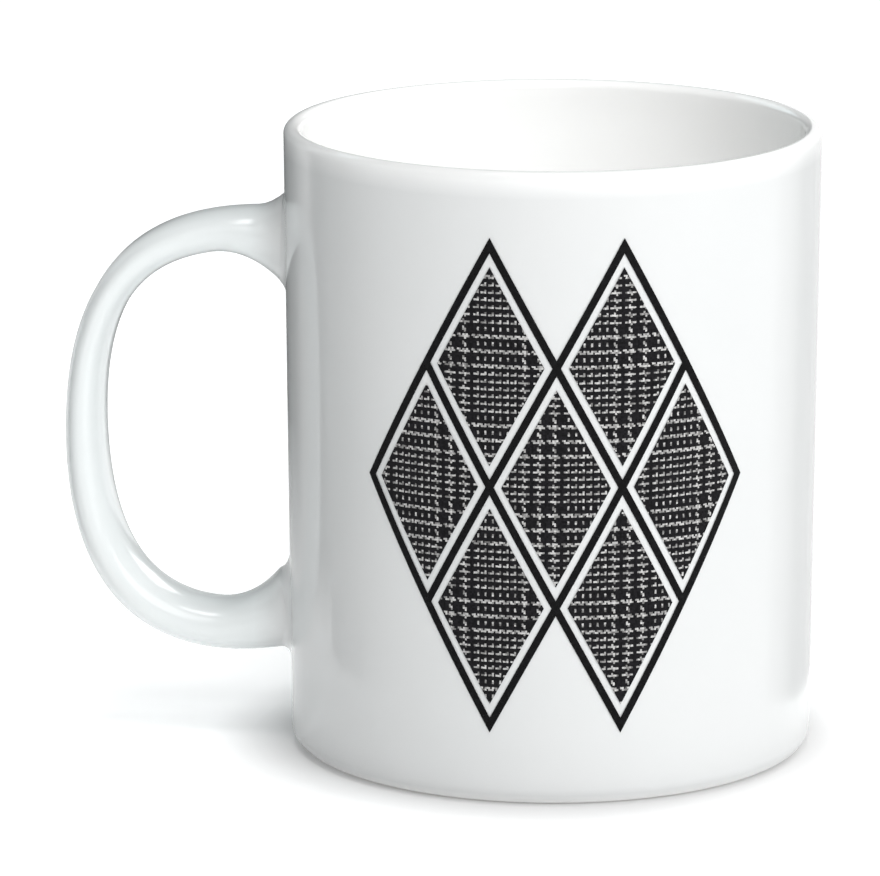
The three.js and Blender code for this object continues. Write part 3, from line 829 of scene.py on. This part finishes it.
class MUG_OT_print(bpy.types.Operator):
    """Draw the trellis and its lozenges flat, roll them on to the wall and give them the ink's thickness"""
    bl_idname = "mug.print"
    bl_label = "Print"

    def execute(self, context):
        scene = context.scene
        body_size, size, colours = scene.mug_body_sizes, scene.mug_print_sizes, scene.mug_colours
        low, high = size.bottom_margin, body_size.height - size.top_margin
        half_width = size.width / max(ROW_COUNTS) / 2
        half_height = (high - low) / (len(ROW_COUNTS) + 1)
        middle_z = (low + high) / 2
        radius = wall_radius(body_size, middle_z)
        places = [((2 * i + 1 - count) * half_width, high - half_height * (row + 1))
                  for row, count in enumerate(ROW_COUNTS) for i in range(count)]

        # Seven tall lozenges that share their sides, upright in the XZ plane
        bpy.ops.object.select_all(action="DESELECT")
        bpy.ops.mesh.primitive_circle_add(vertices=4, radius=1, fill_type="NGON",
                                          rotation=(RIGHT_ANGLE, 0, 0))
        trellis = context.object
        bpy.ops.object.transform_apply(location=True, rotation=True, scale=True)
        bpy.ops.object.mode_set(mode="EDIT")
        bpy.ops.mesh.select_all(action="SELECT")
        bpy.ops.transform.resize(value=(half_width, 1, half_height), center_override=(0, 0, 0))
        bpy.ops.transform.translate(value=(places[0][0], 0, places[0][1]))
        for (x, z), (next_x, next_z) in zip(places, places[1:]):
            bpy.ops.mesh.duplicate_move(TRANSFORM_OT_translate={"value": (next_x - x, 0, next_z - z)})
        bpy.ops.mesh.select_all(action="SELECT")
        bpy.ops.mesh.remove_doubles(threshold=MERGE_DISTANCE)
        bpy.ops.mesh.select_all(action="SELECT")
        bpy.ops.mesh.normals_make_consistent(inside=False)

        # A spare border outside them, so that the outer lines get their outer half
        bpy.ops.mesh.region_to_loop()
        bpy.ops.mesh.extrude_edges_move()
        bpy.ops.transform.resize(value=(SPARE_BORDER, 1, SPARE_BORDER), center_override=(0, 0, middle_z))

        def on_lozenge(middle):
            return any(math.hypot(middle.x - x, middle.z - z) < size.line for x, z in places)

        choose_faces(trellis, on_lozenge)
        bpy.ops.mesh.inset(thickness=size.line / 2, use_outset=True)
        choose_faces(trellis, on_lozenge)
        bpy.ops.mesh.select_more()
        bpy.ops.mesh.select_all(action="INVERT")
        bpy.ops.mesh.delete(type="FACE")

        # The lines are what an inset leaves of each lozenge, and the lozenges are inset once more
        choose_faces(trellis, on_lozenge)
        bpy.ops.mesh.inset(thickness=size.line / 2, use_individual=True)
        bpy.ops.mesh.separate(type="SELECTED")
        bpy.ops.object.mode_set(mode="OBJECT")
        patches = next(piece for piece in context.selected_objects if piece != trellis)
        choose(patches)
        bpy.ops.object.mode_set(mode="EDIT")
        bpy.ops.mesh.select_all(action="SELECT")
        bpy.ops.mesh.inset(thickness=size.line_margin, use_individual=True)
        bpy.ops.mesh.select_all(action="INVERT")
        bpy.ops.mesh.delete(type="FACE")
        bpy.ops.object.mode_set(mode="OBJECT")

        to_wall = (Matrix.Translation((AXIS_X, 0, 0)) @ Matrix.Rotation(size.turn, 4, "Z")
                   @ Matrix.Translation((0, -radius, 0)))
        for sheet in (trellis, patches):
            choose(sheet)
            bpy.ops.object.mode_set(mode="EDIT")
            bpy.ops.mesh.select_all(action="SELECT")
            bpy.ops.mesh.subdivide(number_cuts=PRINT_CUTS)
            bpy.ops.object.mode_set(mode="OBJECT")
            across = [vertex.co.x for vertex in sheet.data.vertices]
            apply_modifier(sheet, "SIMPLE_DEFORM", deform_method="BEND", deform_axis="Z",
                           angle=(max(across) - min(across)) / radius)
            sheet.matrix_world = to_wall
            bpy.ops.object.transform_apply(location=True, rotation=True, scale=True)
            apply_modifier(sheet, "SHRINKWRAP", target=bpy.data.objects["glazed_body"],
                           wrap_method="NEAREST_SURFACEPOINT", wrap_mode="ABOVE_SURFACE", offset=size.lift)
            apply_modifier(sheet, "SOLIDIFY", thickness=size.film, offset=-1)
        finish_piece(trellis, "printed_trellis", "ink_lines", [line_ink(colours)], "print_trellis")

        choose(patches)
        bpy.ops.object.mode_set(mode="EDIT")
        bpy.ops.mesh.separate(type="LOOSE")
        bpy.ops.object.mode_set(mode="OBJECT")
        tweed = tweed_ink(colours, radius, size.thread)
        loose = list(context.selected_objects)
        for number, (x, z) in enumerate(places, 1):
            around = size.turn + x / radius
            middle = Vector((AXIS_X + radius * math.sin(around), -radius * math.cos(around), z))
            patch = min(loose, key=lambda piece: (sum((v.co for v in piece.data.vertices), Vector())
                                                  / len(piece.data.vertices) - middle).length)
            loose.remove(patch)
            finish_piece(patch, f"printed_lozenge_{number}", "ink_tweed", [tweed], f"print_lozenge_{number}")
        return {"FINISHED"}


# Stage

def from_mug(azimuth, elevation, distance):
    """A place round the mug, its azimuth in degrees to the right of the camera's."""
    around = VIEW_AZIMUTH + math.radians(azimuth)
    up = math.radians(elevation)
    way = Vector((math.sin(around) * math.cos(up), -math.cos(around) * math.cos(up), math.sin(up)))
    return MUG_MIDDLE + way * distance


def hang_softbox(name, place, size, watts, tint):
    """A soft box that faces the mug's middle."""
    facing = (MUG_MIDDLE - place).to_track_quat("-Z", "Y").to_euler()
    bpy.ops.object.light_add(type="AREA", location=place, rotation=facing)
    lamp = bpy.context.object
    lamp.name = name
    lamp.data.shape = "RECTANGLE"
    lamp.data.size, lamp.data.size_y = size
    lamp.data.energy = watts
    lamp.data.color = linear(tint)[:3]
    lamp.visible_camera = False


def stand_flag(name, place, size, pale, tints):
    """A card that faces the mug's middle and shows in reflections alone."""
    facing = (MUG_MIDDLE - place).to_track_quat("Z", "Y").to_euler()
    bpy.ops.mesh.primitive_plane_add(size=1, location=place, rotation=facing)
    flag = bpy.context.object
    flag.name = name
    flag.dimensions = (*size, 0)
    bpy.ops.object.transform_apply(location=False, rotation=False, scale=True)
    flag.data.materials.append(glowing_card(f"{name}_card", size, pale, tints))
    flag.visible_camera = False
    flag.visible_diffuse = False
    flag.visible_shadow = False


class MUG_OT_stage(bpy.types.Operator):
    """Lay the studio paper, hang the lamps, stand the cards and set up the camera"""
    bl_idname = "mug.stage"
    bl_label = "Stage"

    def execute(self, context):
        scene = context.scene
        bpy.ops.object.select_all(action="DESELECT")
        bpy.ops.mesh.primitive_circle_add(vertices=PAPER_CORNERS, radius=PAPER_RADIUS, fill_type="NGON")
        paper = context.object
        paper.name = "studio_paper"
        paper.data.materials.append(studio_paper(scene.mug_colours, scene.mug_body_sizes.foot_radius))

        for name, place, size, watts, tint in SOFTBOXES:
            hang_softbox(name, from_mug(*place), size, watts, tint)
        for name, place, size, pale, tints in FLAGS:
            stand_flag(name, from_mug(*place), size, pale, tints)
        world = bpy.data.worlds.new("studio_room")
        world.use_nodes = True
        world.node_tree.nodes.clear()
        room = add(world.node_tree, "ShaderNodeBackground", {"Color": linear(ROOM_COLOUR),
                                                             "Strength": ROOM_STRENGTH})
        add(world.node_tree, "ShaderNodeOutputWorld", {"Surface": room.outputs["Background"]})
        scene.world = world
        scene.view_settings.view_transform = "Standard"

        back = from_mug(0, math.degrees(VIEW_ELEVATION), 1) - MUG_MIDDLE
        right = Vector((math.cos(VIEW_AZIMUTH), math.sin(VIEW_AZIMUTH), 0))
        up = back.cross(right)
        off_x = (MUG_MIDDLE_PIXEL[0] - IMAGE_WIDTH / 2) / FOCAL_PIXELS
        off_y = (IMAGE_HEIGHT / 2 - MUG_MIDDLE_PIXEL[1]) / FOCAL_PIXELS
        sight = (right * off_x + up * off_y - back).normalized()
        bpy.ops.object.camera_add(location=MUG_MIDDLE - sight * VIEW_DISTANCE,
                                  rotation=back.to_track_quat("Z", "Y").to_euler())
        camera = context.object
        camera.name = "camera"
        camera.data.sensor_fit = "HORIZONTAL"
        camera.data.sensor_width = SENSOR_WIDTH
        camera.data.lens = FOCAL_PIXELS * SENSOR_WIDTH / IMAGE_WIDTH
        scene.camera = camera
        return {"FINISHED"}


class MUG_PT_panel(bpy.types.Panel):
    """The mug's sizes, colours and steps"""
    bl_idname = "MUG_PT_panel"
    bl_label = "Glazed Mug"
    bl_space_type = "VIEW_3D"
    bl_region_type = "UI"
    bl_category = "Mug"

    def draw(self, context):
        column = self.layout.column()
        for step in STEPS:
            column.operator(step.bl_idname)
        for name, group in GROUPS.items():
            column.separator()
            for prop in group.__annotations__:
                column.prop(getattr(context.scene, name), prop)


STEPS = (MUG_OT_body, MUG_OT_handle, MUG_OT_slip, MUG_OT_print, MUG_OT_stage)


def register():
    for part in (*GROUPS.values(), *STEPS, MUG_PT_panel):
        bpy.utils.register_class(part)
    for name, group in GROUPS.items():
        setattr(bpy.types.Scene, name, PointerProperty(type=group))


def unregister():
    for name in GROUPS:
        delattr(bpy.types.Scene, name)
    for part in (MUG_PT_panel, *STEPS, *reversed(GROUPS.values())):
        bpy.utils.unregister_class(part)


def main():
    register()
    bpy.ops.mug.body()
    bpy.ops.mug.handle()
    bpy.ops.mug.slip()
    bpy.ops.mug.print()
    bpy.ops.mug.stage()


if __name__ == "__main__":
    main()
